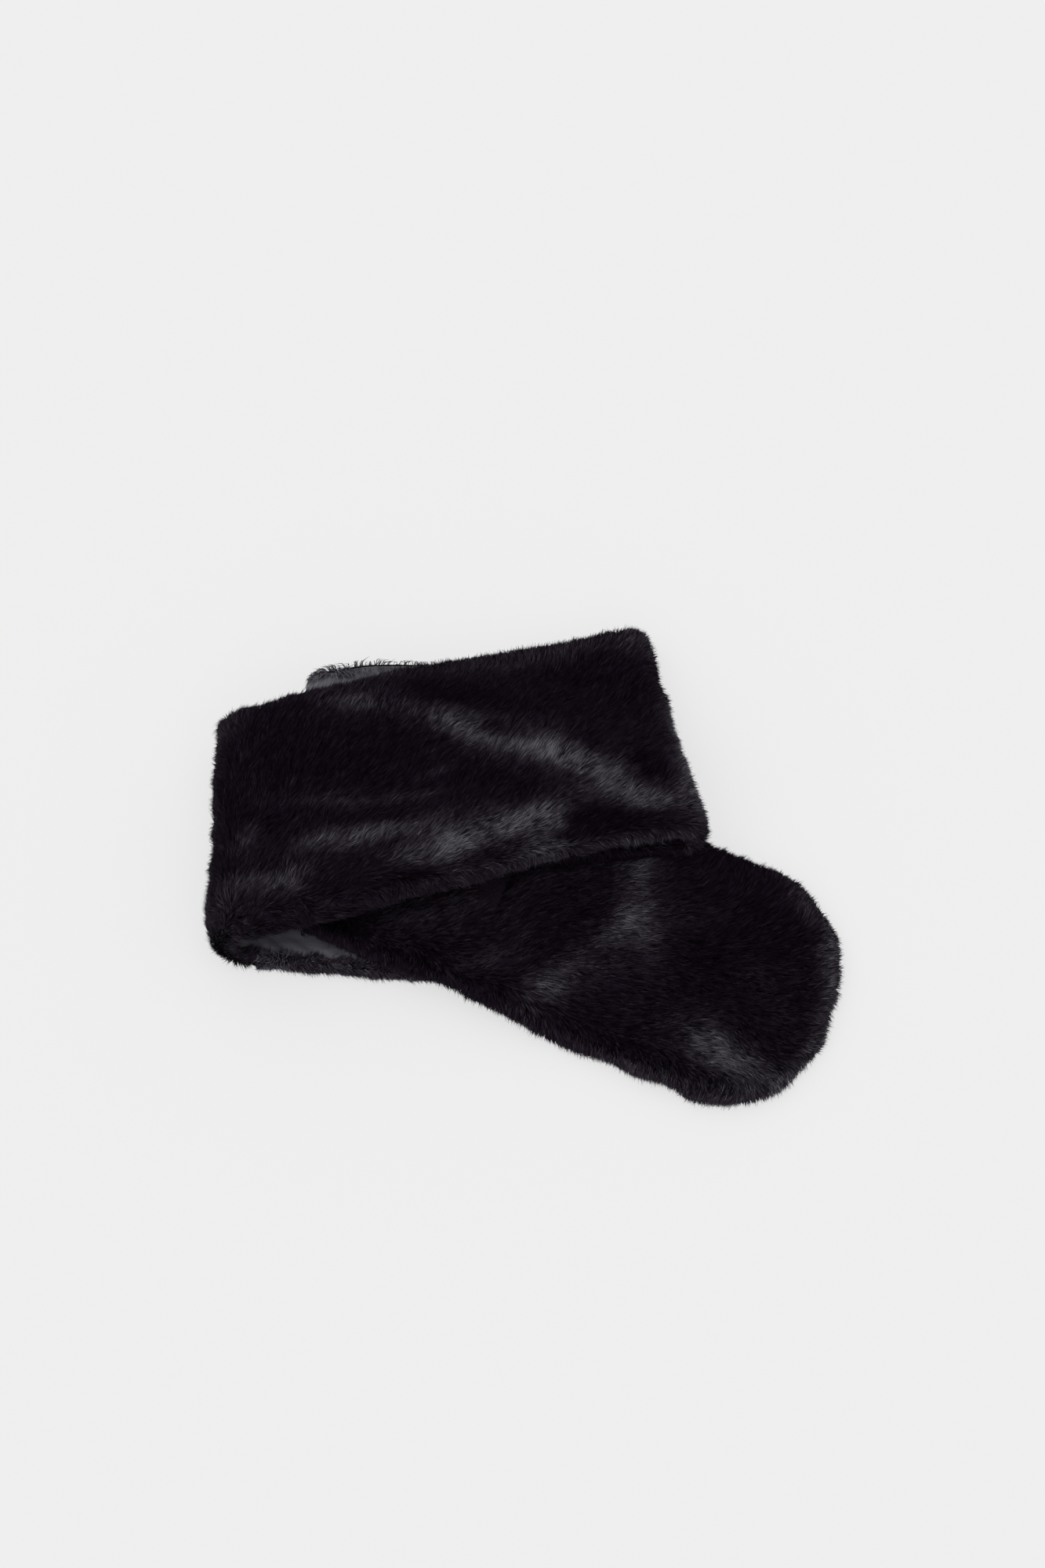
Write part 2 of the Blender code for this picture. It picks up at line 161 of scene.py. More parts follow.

# Painted sheen on the pile, as lighter tone, and painted shade where the strength is
# below zero: x, y, half length, half width, heading, strength.
PAINTED_SHEEN_OVALS = {
    "fur_top": [
        (-93, 80, 17, 6, -4, 0.50), (-60, 74, 16, 5, -14, 0.20), (-38, 66, 17, 7, -34, 0.66),
        (-12, 57, 18, 7, -8, 0.50), (14, 50, 20, 9, -16, 0.66), (46, 37, 17, 9, -28, 0.74),
        (74, 23, 14, 8, -24, 0.36), (66, 14, 16, 6, -10, 0.22), (-42, -13, 17, 12, 18, 0.86),
        (-11, 0, 17, 9, 12, 0.62), (12, 11, 14, 10, 22, 0.60), (12, -4, 12, 10, 40, 0.34),
        (-62, -18, 14, 7, 10, 0.30), (-116, -10, 12, 4, 36, 0.30), (-92, -8, 22, 5, 13, 0.40),
        (-60, 4, 20, 5, 15, 0.34), (-103, 16, 17, 3, 4, 0.32), (-66, 19, 22, 3, 9, 0.28),
        (-48, 35, 8, 3, 24, 0.28), (-127, -32, 13, 5, 40, 0.48), (-146, -34, 16, 5, 7, 0.36),
        (-151, -11, 11, 5, 72, 0.26), (-156, -42, 18, 9, -16, 0.18), (-120, -50, 26, 5, 8, 0.12),
        (-29, -27, 50, 4, 15, 0.14), (64, -7, 34, 3, 6, 0.32), (18, 126, 50, 5, 14, 0.24),
        (-87, 100, 34, 5, 12, 0.24), (-167, 69, 18, 7, 64, 0.20), (-150, 30, 8, 20, 4, 0.10),
        (92, 50, 36, 6, -79, 0.34), (48, 100, 24, 10, 16, 0.08), (24, 96, 52, 20, 15, -0.14),
        (36, 7, 16, 9, 9, -0.20), (-20, 4, 16, 7, 14, 0.14), (16, -8, 16, 7, 20, 0.24),
        (52, 32, 20, 10, -26, 0.26), (-150, -58, 14, 10, 0, 0.10), (92, 26, 10, 26, 8, 0.34),
        (-103, 47, 42, 18, 7, -0.07), (-20, 30, 30, 9, 8, -0.10), (-34, 70, 12, 6, -20, 0.12),
        (-15, 62, 10, 5, -10, -0.16), (17, 54, 14, 8, -30, 0.24), (2, 22, 14, 6, 10, -0.16),
        (-52, -24, 14, 7, 12, -0.30), (70, 42, 10, 6, -24, -0.16), (-142, 36, 18, 24, 0, -0.08),
        (-136, -52, 22, 7, 6, -0.10), (-93, -3, 26, 5, 12, 0.26), (-112, 19, 20, 3, 6, 0.18),
        (-124, -38, 7, 7, 60, 0.32), (-154, -8, 8, 5, 60, 0.22), (-18, 72, 24, 5, -12, 0.20),
        (17, 47, 9, 6, -30, 0.22), (54, 24, 14, 5, -20, 0.18), (68, 17, 12, 7, 0, 0.18),
        (90, 66, 6, 28, 12, 0.24), (10, 132, 50, 6, 14, 0.20), (82, -12, 24, 4, 8, 0.26),
        (-13, 62, 12, 5, -8, -0.22), (-168, -57, 12, 14, 0, 0.26), (94, -2, 10, 7, 0, -0.22),
        (66, 27, 14, 5, -24, -0.20), (41, 18, 14, 4, -10, 0.14), (80, 15, 16, 5, 0, 0.18),
        (-33, -17, 10, 4, 16, 0.14), (-95, -8, 14, 4, 10, 0.12), (-8, 58, 16, 4, -10, -0.14),
        (14, 44, 14, 5, -20, 0.16), (-160, 80, 14, 10, 30, 0.12), (92, 62, 5, 14, 12, 0.16),
        (70, 142, 26, 6, 10, 0.16), (-44, 83, 14, 6, -10, -0.22), (-7, 2, 7, 4, 20, 0.24),
        (20, 1, 7, 4, 10, 0.30), (4, 17, 16, 5, 16, -0.16), (64, 30, 12, 4, -24, -0.16),
        (-28, -13, 12, 5, 20, 0.14), (-149, 6, 6, 8, 60, -0.08), (10, 60, 10, 4, -10, -0.14),
        (34, 56, 9, 6, -20, -0.20), (71, 34, 12, 8, -28, -0.36), (42, 46, 10, 7, -26, -0.18),
        (-24, -16, 13, 6, 15, -0.40), (24, -4, 28, 6, 8, -0.24), (-32, 90, 20, 5, 0, -0.14),
        (-84, 5, 26, 4, 8, -0.10), (-31, 69, 12, 6, -20, 0.16), (-6, 5, 6, 5, 0, 0.26),
        (-34, -10, 18, 6, 14, 0.22), (-100, -4, 10, 5, 10, 0.12), (17, 10, 8, 5, 0, 0.16),
        (44, 24, 16, 4, -10, 0.14), (14, 47, 8, 6, -30, 0.12), (88, 76, 5, 22, 14, 0.22),
        (86, -6, 14, 5, 20, 0.14), (-52, -29, 12, 5, 12, -0.20), (28, 3, 22, 6, 10, -0.22),
        (-62, 6, 16, 4, 10, -0.12), (-164, 84, 12, 8, 20, 0.10), (-132, 92, 18, 6, 18, 0.12),
        (10, -14, 44, 4, 16, 0.16), (78, -8, 22, 3, 8, 0.20), (74, 8, 26, 4, 10, -0.14),
        (-168, 10, 7, 60, 0, -0.10), (-40, -30, 44, 4, 16, 0.05), (70, 122, 26, 16, 20, -0.04),
        (90, 70, 5, 24, 12, 0.20), (68, 132, 16, 10, 10, 0.30), (-93, 84, 18, 6, 0, 0.12),
    ],
    "fur_tail": [
        (63, -17, 18, 9, -91, 0.46), (61, -44, 12, 13, -81, 0.60), (47, -52, 10, 6, -34, 0.30),
        (29, -66, 16, 7, 26, 0.32), (14, -81, 15, 8, 24, 0.46), (-20, -68, 15, 7, 21, 0.26),
        (110, -122, 25, 14, -40, 0.72), (93, -107, 11, 8, -16, 0.14), (110, -140, 24, 6, -16, 0.24),
        (158, -29, 18, 5, -56, 0.30), (169, -68, 30, 6, -90, 0.40), (146, -130, 28, 5, 48, 0.46),
        (-20, -86, 34, 4, -29, 0.06), (2, -98, 26, 5, -28, -0.12), (104, -114, 12, 6, -40, 0.10),
        (57, -125, 42, 5, -25, 0.26), (101, -35, 15, 8, 11, 0.14), (126, -69, 14, 8, -24, 0.14),
        (136, -93, 13, 8, -57, 0.24), (100, -55, 22, 20, 0, -0.08), (140, -36, 16, 18, -50, -0.08),
        (-50, -36, 40, 14, 18, 0.26), (10, -16, 44, 10, 16, 0.10), (10, -107, 22, 9, -26, 0.12),
        (108, -114, 12, 8, -40, 0.14), (132, -132, 14, 7, -30, 0.20),
        (100, -131, 10, 5, -30, -0.20), (134, -93, 12, 8, -50, -0.12), (70, -60, 7, 12, 0, 0.18),
        (44, -74, 12, 7, 20, 0.14), (16, -84, 14, 7, 20, 0.12), (169, -76, 30, 5, -84, 0.20),
        (156, -17, 12, 5, -50, 0.12), (80, -135, 40, 5, -24, 0.16), (-12, -54, 18, 12, 20, 0.04),
        (68, -12, 12, 11, -91, 0.18), (22, -66, 10, 10, 0, -0.12), (40, -44, 6, 9, 0, -0.14),
        (58, -62, 7, 7, 0, -0.10), (16, -86, 12, 6, 20, 0.12), (162, -102, 14, 7, -115, 0.34),
        (172, -50, 5, 18, 0, 0.26), (152, -14, 12, 5, -50, 0.14), (124, -142, 14, 4, 20, -0.12),
        (150, -22, 10, 6, -50, 0.10),
    ],
    "fur_middle": [(-118, 108, 26, 16, 10, 0.74), (-60, 122, 60, 12, 17, 0.70)],
    "fur_under": [
        (-106, -65, 66, 14, -5, 0.44), (-60, -72, 40, 8, -5, 0.16), (-148, -40, 16, 50, 0, 0.32),
        (-146, -66, 18, 12, -30, 0.22),
    ],
}

# Within this reach of a sewn edge the pile is combed over it, stands up and lifts.
SEAM_REACH = 8.5
SEAM_COMB = {"fur_top": 0.40, "fur_middle": 0.95, "fur_tail": 0.0, "fur_under": 0.50}
SEAM_STAND = {"fur_top": 0.0, "fur_middle": 0.10, "fur_tail": 0.0, "fur_under": 0.0}
SEAM_RISE = 2.2
SEAM_LIFT = {"fur_top": 1.6, "fur_middle": 0.5, "fur_tail": 0.0, "fur_under": 0.9}

# How far the pile's sides stand in or out: x, y, reach, how far.
SIDES = {
    "fur_top": [
        (104, 16, 18, 2.2), (92, 56, 16, -1.2), (81, 98, 18, 2.8), (75, 130, 22, 2.6),
        (-172, 66, 30, -1.2), (-173, 4, 40, -1.6), (-173, -44, 16, 1.1),
    ],
    "fur_middle": [
        (-112, 119, 18, -1.8), (-90, 123, 18, -3.8), (-70, 125, 20, -3.8), (-50, 127, 14, -1.4),
    ],
    "fur_tail": [
        (116, 8, 17, -2.8), (-40, -75, 16, -3.0), (-20, -87, 16, 0.4), (6, -103, 18, 0.8),
        (44, -120, 18, -3.0), (73, -133, 24, -5.2), (110, -145, 16, -0.8), (142, -135, 16, 1.6),
        (163, -112, 20, 5.7), (173, -79, 18, 1.8), (174, -44, 22, 2.7), (153, -10, 22, 2.5),
    ],
    "fur_under": [
        (-147, -66, 10, 2.2), (-141, -63, 24, -0.5), (-104, -68, 26, -0.9), (-76, -71, 24, -1.4),
        (-43, -74, 22, -2.6),
    ],
}

# Where the pile is thicker: x, y, reach, how many times as dense, how many times as long.
THICK = {
    "fur_top": [(-150, -58, 16, 1.8, 0.8)],
    "fur_middle": [(-134, 106, 14, 2.2, 1.1), (-124, 108, 26, 1.8, 1.2), (-80, 118, 44, 1.9, 1.3)],
    "fur_tail": [],
    "fur_under": [(-80, -74, 60, 1.9, 0.9), (-130, -68, 30, 1.9, 0.9), (-146, -62, 18, 1.5, 1.0)],
}

# Creases in the satin: x, y, half length, half width, heading, height.
SATIN_CREASES = {
    "lining_under": [
        (-151, -52, 11, 3.0, 118, 0.8), (-143, -56, 11, 2.0, 124, -0.7),
        (-136, -56, 13, 2.6, 130, 1.0), (-128, -57, 13, 1.6, 136, -0.8),
        (-120, -57, 13, 2.4, 140, 0.8), (-111, -59, 14, 1.8, 142, -0.7),
        (-103, -60, 12, 2.4, 138, 0.8), (-95, -61, 11, 1.3, 130, -0.8),
        (-89, -62, 9, 1.3, 118, 0.8), (-84, -62, 9, 0.9, 108, -0.8), (-80, -62, 9, 1.0, 102, 0.8),
        (-76, -63, 9, 0.8, 98, -1.0), (-72, -63, 9, 1.0, 92, 0.8), (-68, -64, 9, 0.8, 88, -0.8),
        (-62, -63, 9, 1.4, 84, 0.8), (-50, -62, 8, 1.6, 95, 0.7),
    ],
    "lining_middle": [
        (-128, 98, 12, 2.4, 66, 0.5), (-120, 98, 12, 1.8, 72, -0.4), (-111, 102, 12, 2.2, 80, 0.5),
        (-102, 106, 11, 1.6, 70, -0.4), (-92, 108, 11, 2.4, 62, 0.5), (-80, 112, 10, 1.8, 74, -0.4),
    ],
    "lining_top": [
        (-150, -30, 12, 3, 80, 0.6), (-150, 0, 16, 2.4, 100, -0.5), (-150, 26, 14, 3, 95, 0.6),
        (-150, 60, 14, 2.6, 80, 0.6), (-138, 76, 16, 2.2, 64, -0.6), (-126, 82, 18, 3.0, 58, 0.7),
        (-112, 86, 16, 2.0, 66, -0.6), (-98, 92, 18, 2.8, 60, 0.7), (-84, 96, 14, 2.0, 70, -0.5),
        (-68, 102, 14, 2.6, 62, 0.6),
    ],
}
CREASE_EASE = 3
PUCKER_PITCH = 5.5
PUCKER_HEIGHT = 0.13
PUCKER_REACH = 7.0
PUCKER_EASE = 1.5
SATIN_WAVE = (15, 0.12)
SATIN_SPLIT = (12, 1.5)
SEEN_SATIN = 0.04
SEAM_ANGLE = 50
FOLD_SEARCH = 1.2
FOLD_JOIN = 0.7


# ---------------------------------------------------------------- shared measures


def merged_copy(node):
    """A CAD node's mesh with its loose triangles joined."""
    bm = bmesh.new()
    bm.from_mesh(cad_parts[node].data)
    bmesh.ops.remove_doubles(bm, verts=bm.verts, dist=1e-6)
    bmesh.ops.recalc_face_normals(bm, faces=bm.faces)
    bm.normal_update()
    return bm


def node_tree(nodes):
    """One search tree over several CAD nodes."""
    points, faces = [], []
    for node in nodes:
        bm = merged_copy(node)
        start = len(points)
        points += [v.co.copy() for v in bm.verts]
        faces += [tuple(start + v.index for v in f.verts) for f in bm.faces]
        bm.free()
    return BVHTree.FromPolygons(points, faces)


ALL_TREE = node_tree(sorted(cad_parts))
LINING_TREES = {lining: node_tree([lining]) for lining, _ in FUR_STRETCHES.values() if lining}
LINING_TREE = node_tree(sorted(LINING_TREES))


def unit(rows):
    """Rows of vectors, each brought to length 1."""
    return rows / np.maximum(np.linalg.norm(rows, axis=1), 1e-12)[:, None]


def without(rows, normals):
    """Rows of vectors less their parts along the normals."""
    return rows - normals * np.sum(rows * normals, axis=1)[:, None]


def ripple(points, size_mm, seed, waves=7):
    """Smooth unevenness from -1 to 1 over points in metres."""
    rng = np.random.default_rng(seed)
    way = rng.normal(size=(waves, 3))
    way /= np.linalg.norm(way, axis=1)[:, None]
    pace = 2 * math.pi / (size_mm * MM) * rng.uniform(0.6, 1.5, waves)
    start = rng.uniform(0, 2 * math.pi, waves)
    total = np.zeros(len(points))
    for k in range(waves):
        total += np.sin(points @ way[k] * pace[k] + start[k])
    return np.clip(total / (0.55 * waves), -1, 1)


# The share of an oval's strength in its core and in its skirt, and how fast each falls.
OVAL_CORE = (0.86, 0.9)
OVAL_SKIRT = (0.14, 0.24)


def bump_field(points, ovals):
    """The strength of soft ovals at points: each a core with a faint wide skirt."""
    x, y = points[:, 0] / MM, points[:, 1] / MM
    total = np.zeros(len(points))
    for cx, cy, half_length, half_width, heading, strength in ovals:
        c, s = math.cos(math.radians(heading)), math.sin(math.radians(heading))
        along = ((x - cx) * c + (y - cy) * s) / half_length
        over = (-(x - cx) * s + (y - cy) * c) / half_width
        away = along**2 + over**2
        for share, fall in (OVAL_CORE, OVAL_SKIRT):
            total += strength * share * np.exp(-fall * away)
    return total


def thickness_at(points, node, column):
    """How many times as dense (column 3) or as long (column 4) the pile is at points."""
    times = np.ones(len(points))
    for row in THICK[node]:
        away = np.hypot(points[:, 0] / MM - row[0], points[:, 1] / MM - row[1]) / row[2]
        times += (row[column] - 1) * np.clip(1.6 * (1 - away), 0, 1)
    return times


def side_shift(points, normals, node):
    """How far and which way, in plan, the pile on the sides stands out or in, in metres."""
    far = np.zeros(len(points))
    for x, y, reach, out in SIDES[node]:
        away = ((points[:, 0] / MM - x) ** 2 + (points[:, 1] / MM - y) ** 2) / reach**2
        far += out * np.exp(-2.2 * away)
    flat = normals * np.array([1.0, 1.0, 0.0])
    on_side = np.clip(2.2 * np.linalg.norm(flat, axis=1), 0, 1)
    return unit(flat) * (far * on_side * MM)[:, None]


def put_in_scene(mesh, name, material, node, smooth=True):
    """Make a mesh a finished piece that rides and stands for its CAD node."""
    mesh.polygons.foreach_set("use_smooth", np.full(len(mesh.polygons), smooth))
    mesh.materials.append(material)
    piece = bpy.data.objects.new(name, mesh)
    bpy.context.scene.collection.objects.link(piece)
    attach(piece, "root")
    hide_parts(node)
    return piece


# ---------------------------------------------------------------- materials

# Pile colours by tone: the lighter stops give the painted sheen and painted rim light.
PILE_TONES = [
    (0.0, (0.0034, 0.0012, 0.0040)),
    (0.2, (0.0128, 0.0082, 0.0146)),
    (0.4, (0.0320, 0.0258, 0.0355)),
    (0.7, (0.0900, 0.0850, 0.1000)),
    (1.0, (0.2300, 0.2280, 0.2560)),
]
ROOT_TO_TIP = [(0.0, (0.32,) * 3), (0.45, (0.7,) * 3), (0.85, (1.0,) * 3), (1.0, (1.12,) * 3)]
PILE_GLOSS = (0.85, 0.66, 0.92, 1)
# Satin colours; the spread between them is painted sheen in slantwise streaks.
SATIN_TONE_AND_SHEEN = [(0.32, (0.055, 0.053, 0.064)), (0.68, (0.098, 0.096, 0.111))]
SATIN_GLOSS = (0.94, 0.92, 1.0, 1)


def new_material(name):
    """A material, its nodes, its links and its Principled shader."""
    material = bpy.data.materials.new(name)
    material.use_nodes = True
    nodes, links = material.node_tree.nodes, material.node_tree.links
    return material, nodes, links, nodes["Principled BSDF"]


def add_ramp(nodes, stops):
    node = nodes.new("ShaderNodeValToRGB")
    elements = node.color_ramp.elements
    while len(elements) < len(stops):
        elements.new(0.5)
    for element, (place, colour) in zip(elements, stops):
        element.position = place
        element.color = (*colour, 1)
    return node


def add_noise(nodes, links, place, scale, detail):
    node = nodes.new("ShaderNodeTexNoise")
    node.inputs["Scale"].default_value = scale
    node.inputs["Detail"].default_value = detail
    links.new(place, node.inputs["Vector"])
    return node


def add_mapping(nodes, links, place, scale, turn):
    """Object coordinates, turned in plan and stretched."""
    node = nodes.new("ShaderNodeMapping")
    node.inputs["Scale"].default_value = scale
    node.inputs["Rotation"].default_value = (0, 0, math.radians(turn))
    links.new(place, node.inputs["Vector"])
    return node.outputs["Vector"]


def add_range(nodes, links, value, low, high):
    node = nodes.new("ShaderNodeMapRange")
    node.inputs["To Min"].default_value = low
    node.inputs["To Max"].default_value = high
    links.new(value, node.inputs["Value"])
    return node.outputs["Result"]


def add_bump(nodes, links, height, strength, distance, shader):
    node = nodes.new("ShaderNodeBump")
    node.inputs["Strength"].default_value = strength
    node.inputs["Distance"].default_value = distance
    links.new(height, node.inputs["Height"])
    links.new(node.outputs["Normal"], shader.inputs["Normal"])


def make_pile_colour():
    """A group from tone, and height from root to tip, to colour."""
    group = bpy.data.node_groups.new("pile_colour", "ShaderNodeTree")
    for label, value in (("Tone", 0.2), ("Height", 0.5)):
        socket = group.interface.new_socket(label, in_out="INPUT", socket_type="NodeSocketFloat")
        socket.default_value = value
    group.interface.new_socket("Colour", in_out="OUTPUT", socket_type="NodeSocketColor")
    nodes, links = group.nodes, group.links
    given, made = nodes.new("NodeGroupInput"), nodes.new("NodeGroupOutput")
    tone = add_ramp(nodes, PILE_TONES)
    links.new(given.outputs["Tone"], tone.inputs["Fac"])
    height = add_ramp(nodes, ROOT_TO_TIP)
    links.new(given.outputs["Height"], height.inputs["Fac"])
    mix = nodes.new("ShaderNodeMix")
    mix.data_type = "RGBA"
    mix.blend_type = "MULTIPLY"
    mix.inputs["Factor"].default_value = 1.0
    links.new(tone.outputs["Color"], mix.inputs[6])
    links.new(height.outputs["Color"], mix.inputs[7])
    links.new(mix.outputs[2], made.inputs["Colour"])
    return group


PILE_COLOUR = make_pile_colour()


def make_strand_material():
    """Glossy fibres: the UV map holds each strand's tone across, painted sheen and shade in it, and
    its height up.
    """
    material, nodes, links, shader = new_material("plush_strands")
    chart = nodes.new("ShaderNodeUVMap")
    chart.uv_map = "OFBake"
    split = nodes.new("ShaderNodeSeparateXYZ")
    links.new(chart.outputs["UV"], split.inputs["Vector"])
    colour = nodes.new("ShaderNodeGroup")
    colour.node_tree = PILE_COLOUR
    links.new(split.outputs["X"], colour.inputs["Tone"])
    links.new(split.outputs["Y"], colour.inputs["Height"])
    links.new(colour.outputs["Colour"], shader.inputs["Base Color"])
    links.new(add_range(nodes, links, split.outputs["X"], 0.58, 0.36), shader.inputs["Roughness"])
    shader.inputs["Specular IOR Level"].default_value = 0.04
    shader.inputs["Specular Tint"].default_value = PILE_GLOSS
    return material


def make_undercoat_material():
    """Dense short fibres in dark tufts."""
    material, nodes, links, shader = new_material("plush_undercoat")
    place = nodes.new("ShaderNodeTexCoord").outputs["Object"]
    tufts = add_noise(nodes, links, place, 900, 3)
    colour = nodes.new("ShaderNodeGroup")
    colour.node_tree = PILE_COLOUR
    links.new(add_range(nodes, links, tufts.outputs["Fac"], 0.08, 0.34), colour.inputs["Tone"])
    colour.inputs["Height"].default_value = 0.4
    links.new(colour.outputs["Colour"], shader.inputs["Base Color"])
    add_bump(nodes, links, tufts.outputs["Fac"], 0.8, 0.0008, shader)
    shader.inputs["Roughness"].default_value = 0.8
    shader.inputs["Specular IOR Level"].default_value = 0.1
    shader.inputs["Specular Tint"].default_value = PILE_GLOSS
    return material


def make_satin_material():
    """Slate satin with a fine weave, and painted sheen: lighter and darker streaks running
    slantwise.
    """
    material, nodes, links, shader = new_material("satin_lining")
    place = nodes.new("ShaderNodeTexCoord").outputs["Object"]
    # Painted sheen: slantwise streaks of lighter and darker satin, standing in for light on
    # creases.
    sheen_streak_place = add_mapping(nodes, links, place, (42, 190, 60), 48)
    sheen_streaks = add_noise(nodes, links, sheen_streak_place, 1.0, 3)
    tint = add_ramp(nodes, SATIN_TONE_AND_SHEEN)
    links.new(sheen_streaks.outputs["Fac"], tint.inputs["Fac"])
    links.new(tint.outputs["Color"], shader.inputs["Base Color"])
    threads = add_mapping(nodes, links, place, (2600, 900, 2600), 6)
    weave = add_noise(nodes, links, threads, 1.0, 2)
    add_bump(nodes, links, weave.outputs["Fac"], 0.25, 0.0002, shader)
    shader.inputs["Roughness"].default_value = 0.52
    shader.inputs["Specular IOR Level"].default_value = 0.28
    shader.inputs["Specular Tint"].default_value = SATIN_GLOSS
    shader.inputs["Sheen Weight"].default_value = 0.15
    shader.inputs["Sheen Roughness"].default_value = 0.4
    return material


STRANDS = make_strand_material()
UNDERCOAT = make_undercoat_material()
SATIN = make_satin_material()


# ---------------------------------------------------------------- the undercoat


def undercoat_move(v, node, lining):
    """How an undercoat's corner moves from the solid's surface, or None near a seam."""
    away = LINING_TREE.find_nearest(v.co, LINING_SEARCH * MM)[3]
    share = 1.0
    if away is not None:
        share = min(max((away / MM - UNDERCOAT_STARTS) / UNDERCOAT_EASE, 0), 1)
    way = v.normal.copy()
    if v.co.z < FLOOR_EDGE * MM or (lining is None and way.z < -0.4):
        way.z = 0
        way *= min(1 / max(way.length, 0.01), 2.2)
    if share == 0 or way.length <= 0.05:
        return None
    shift = Vector(side_shift(np.array([v.co]), np.array([v.normal]), node)[0])
    move = shift - way * UNDERCOAT_DEPTH * MM * share
    if away is not None:
        move *= min(1, max(away - UNDERCOAT_CLEAR * MM, 0) / max(move.length, MM))
    return move


def make_undercoat(node, lining):
    """The short dense pile: the solid's form, drawn in where strands stand over it."""
    bm = merged_copy(node)
    moves = [(v, undercoat_move(v, node, lining)) for v in bm.verts]
    moves = [(v, move) for v, move in moves if move is not None]
    for v, move in moves:
        v.co += move
    verts = [v for v, _ in moves]
    bmesh.ops.smooth_vert(
        bm, verts=verts, factor=0.4, use_axis_x=True, use_axis_y=True, use_axis_z=True
    )
    name = "undercoat_" + node[4:]
    mesh = bpy.data.meshes.new(name)
    bm.to_mesh(mesh)
    bm.free()
    return put_in_scene(mesh, name, UNDERCOAT, node)


# ---------------------------------------------------------------- where strands grow

SKY_RAYS = 48
SIGHT_START = 1.5
SIGHT = 90
GRAZING = 0.12
LEAST_OPEN = 0.03
HALF_OPEN = 0.2


def sky_rays():
    """Directions spread evenly over a ball."""
    k = np.arange(SKY_RAYS) + 0.5
    up = 1 - 2 * k / SKY_RAYS
    turn = k * math.pi * (1 + math.sqrt(5))
    side = np.sqrt(1 - up**2)
    return np.stack([side * np.cos(turn), side * np.sin(turn), up], 1)


SKY = sky_rays()


def openness(point, normal):
    """The share of the view from a point that no layer and no floor closes off."""
    start = point + normal * SIGHT_START * MM
    seen = tried = 0
    for ray in SKY:
        if ray @ normal < GRAZING:
            continue
        tried += 1
        if ray[2] < -0.03 and start[2] + ray[2] * SIGHT * MM < 0:
            continue
        if ALL_TREE.ray_cast(Vector(start), Vector(ray), SIGHT * MM)[0] is None:
            seen += 1
    return seen / max(tried, 1)


def pile_faces(node):
    """The corners, corner normals and openness of a stretch's faces that can be seen."""
    bm = merged_copy(node)
    corners, normals, opens = [], [], []
    for f in bm.faces:
        places = np.array([v.co for v in f.verts])
        flat = np.array(f.normal)
        middle = places.mean(0)
        if middle[2] < 0.5 * MM and flat[2] < -0.8:
            continue
        best = openness(middle, flat)
        if best < HALF_OPEN:
            best = max([best] + [openness(middle * 0.5 + p * 0.5, flat) for p in places])
        if best < LEAST_OPEN:
            continue
        corners.append(places)
        normals.append(np.array([v.normal for v in f.verts]))
        opens.append(best)
    bm.free()
    return np.array(corners), np.array(normals), np.array(opens)


def face_weights(node, faces):
    """Each face's share of its stretch's strands, in square metres of full pile."""
    corners, _, opens = faces
    across = np.cross(corners[:, 1] - corners[:, 0], corners[:, 2] - corners[:, 0])
    area = np.linalg.norm(across, axis=1) / 2
    return area * np.clip(opens * 3.0, 0.5, 1.0) * thickness_at(corners.mean(1), node, 3)


def scatter_roots(node, faces, count, rng):
    """Roots spread over a stretch where nothing lies on it, and the normals there."""
    corners, corner_normals, _ = faces
    weight = face_weights(node, faces)
    pick = np.searchsorted(np.cumsum(weight) / weight.sum(), rng.random(count))
    pick = np.minimum(pick, len(weight) - 1)
    a, b = rng.random(count), rng.random(count)
    over = a + b > 1
    a[over], b[over] = 1 - a[over], 1 - b[over]
    share = np.stack([1 - a - b, a, b], 1)
    root = np.einsum("nk,nkd->nd", share, corners[pick])
    normal = unit(np.einsum("nk,nkd->nd", share, corner_normals[pick]))
    free = np.zeros(count, bool)
    for i, (p, n) in enumerate(zip(root, normal)):
        free[i] = ALL_TREE.ray_cast(Vector(p + n * 0.15 * MM), Vector(n), 4.0 * MM)[0] is None
    return root[free], normal[free]


# ---------------------------------------------------------------- how strands lie

GUIDE_PITCH = 18
NAP_SOFTNESS = 50.0
EDGE_SOFTNESS = 6.0


def edge_guides(outline):
    """Headings across a stretch's edge, pointing out, every so often along it."""
    guides = []
    for (ax, ay), (bx, by) in zip(outline, outline[1:]):
        run = math.hypot(bx - ax, by - ay)
        steps = max(1, round(run / GUIDE_PITCH))
        out = math.degrees(math.atan2(bx - ax, -(by - ay)))
        for k in range(steps):
            t = (k + 0.5) / steps
            guides.append((ax + (bx - ax) * t, ay + (by - ay) * t, out))
    return guides


def nap_at(points, normals, node, seed):
    """Unit directions from root to tip in the pile's own surface, carried round its bends."""
    guides = [(x, y, heading, NAP_SOFTNESS, 1.0) for x, y, heading in NAP[node]]
    for x, y, heading in edge_guides(EDGES[node]):
        guides.append((x, y, heading, EDGE_SOFTNESS, EDGE_PULL[node]))
    x, y = points[:, 0] / MM, points[:, 1] / MM
    pull = np.zeros((len(points), 2))
    for gx, gy, heading, soft, strength in guides:
        near = strength / ((x - gx) ** 2 + (y - gy) ** 2 + soft) ** 1.5
        pull[:, 0] += near * math.cos(math.radians(heading))
        pull[:, 1] += near * math.sin(math.radians(heading))
    turn = np.arctan2(pull[:, 1], pull[:, 0])
    for k, (size, degrees) in enumerate(SWIRLS):
        turn += math.radians(degrees) * ripple(points, size, seed + k)
    nap = np.stack([np.cos(turn), np.sin(turn), np.zeros(len(points))], 1)
    up = np.array([0.0, 0.0, 1.0])
    carried = np.sum(nap * normals, axis=1) / np.maximum(1 + normals[:, 2], 0.2)
    nap -= (normals + up) * carried[:, None]
    steep = np.clip(1 - normals[:, 2], 0, 1.4) * FALL[node]
    nap += (normals * np.array([1, 1, 0]) - 0.5 * up) * steep[:, None]
    return unit(without(nap, normals))


